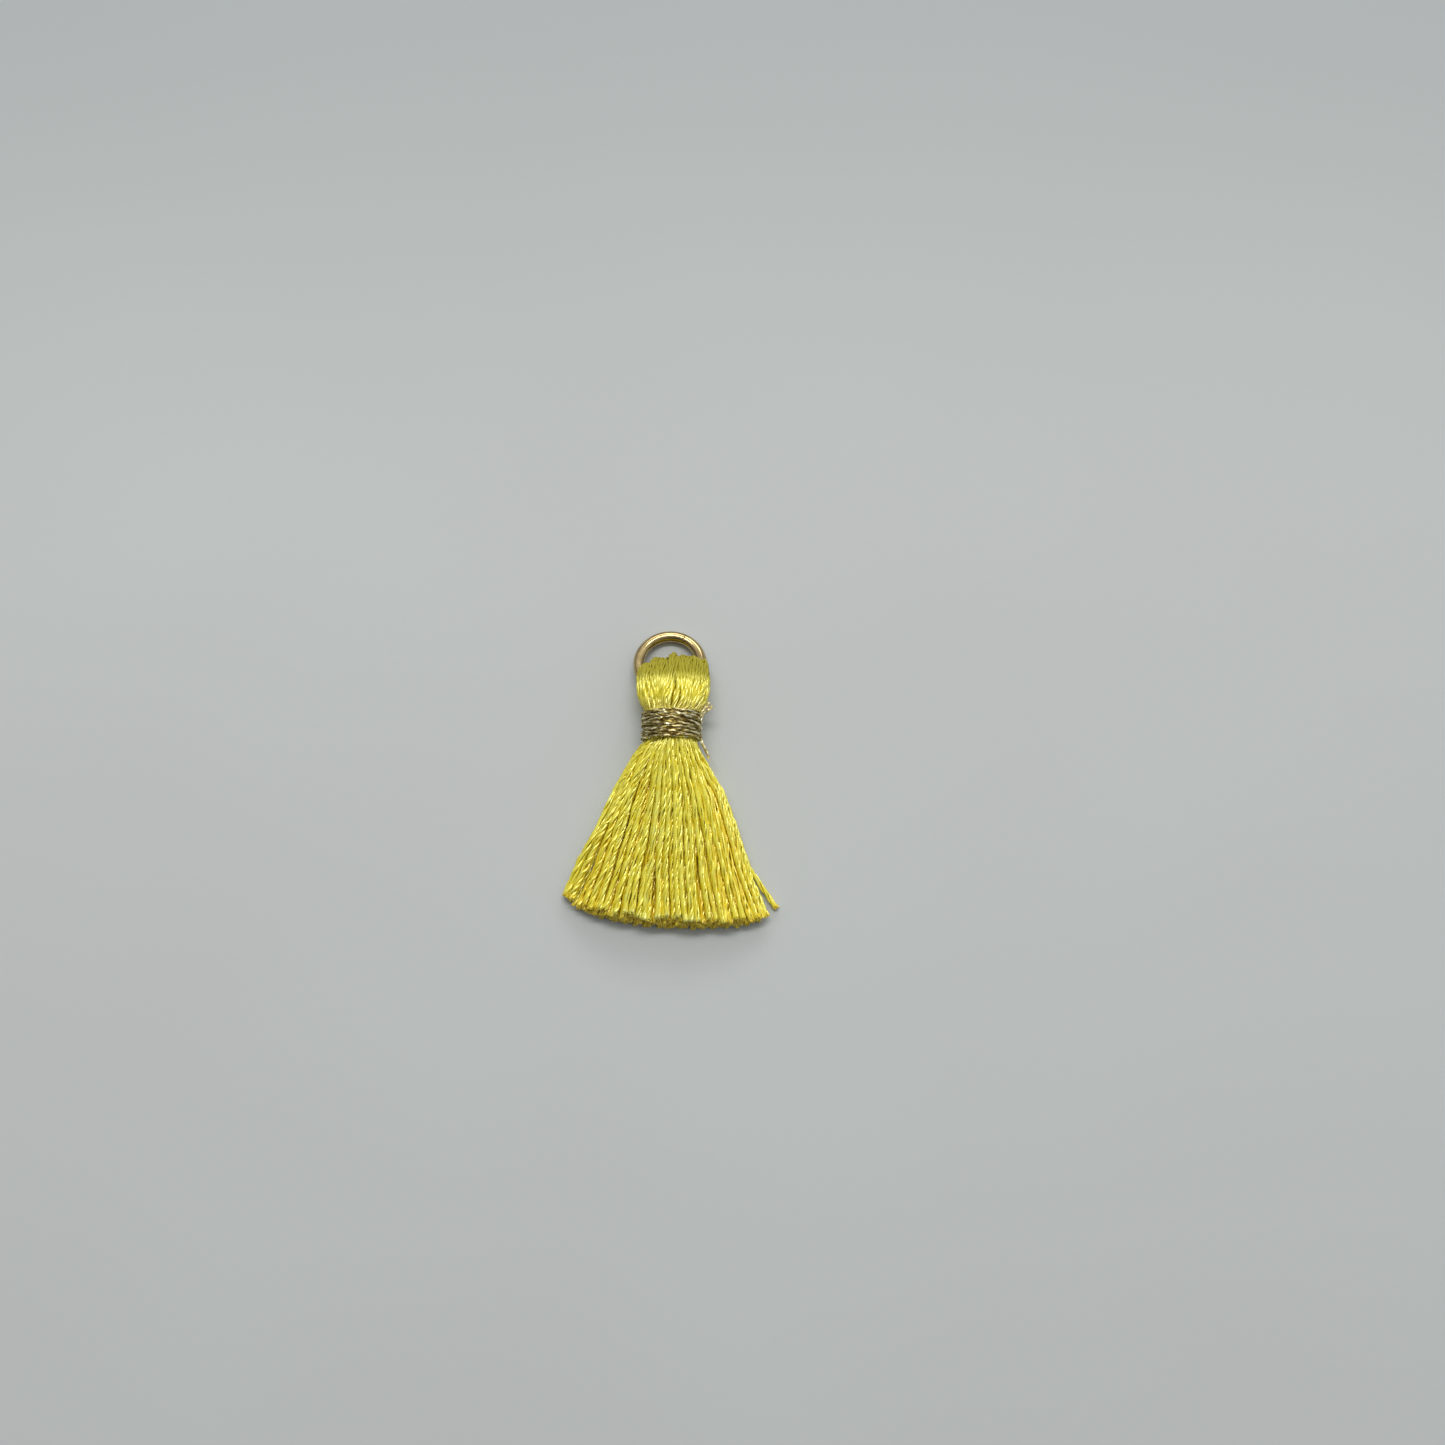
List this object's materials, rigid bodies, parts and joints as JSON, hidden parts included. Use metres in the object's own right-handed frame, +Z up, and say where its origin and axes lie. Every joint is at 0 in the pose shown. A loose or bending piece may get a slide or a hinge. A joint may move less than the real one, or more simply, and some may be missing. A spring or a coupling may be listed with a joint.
{
  "type": "yarn tassel",
  "caption": "Short yellow yarn tassel with a folded head on a round wire ring, bound below it with metallic thread, its cut strands fanned out.",
  "frame": {"origin": "middle of the binding's flat underside, on the surface that the tassel lies on", "axes": "+Y from the cut ends towards the ring, along the tassel; +Z up, away from the surface; +X to the right with the ring at the far end"},
  "size_m": [0.0229, 0.0325, 0.0055],
  "materials": {
    "yarn": "silky",
    "metallic_thread": "metallic",
    "gold_plate": "polished"
  },
  "bodies": {
    "root": {"yarn": "yarn", "binding": "metallic_thread", "ring": "gold_plate"}
  },
  "joints": []
}
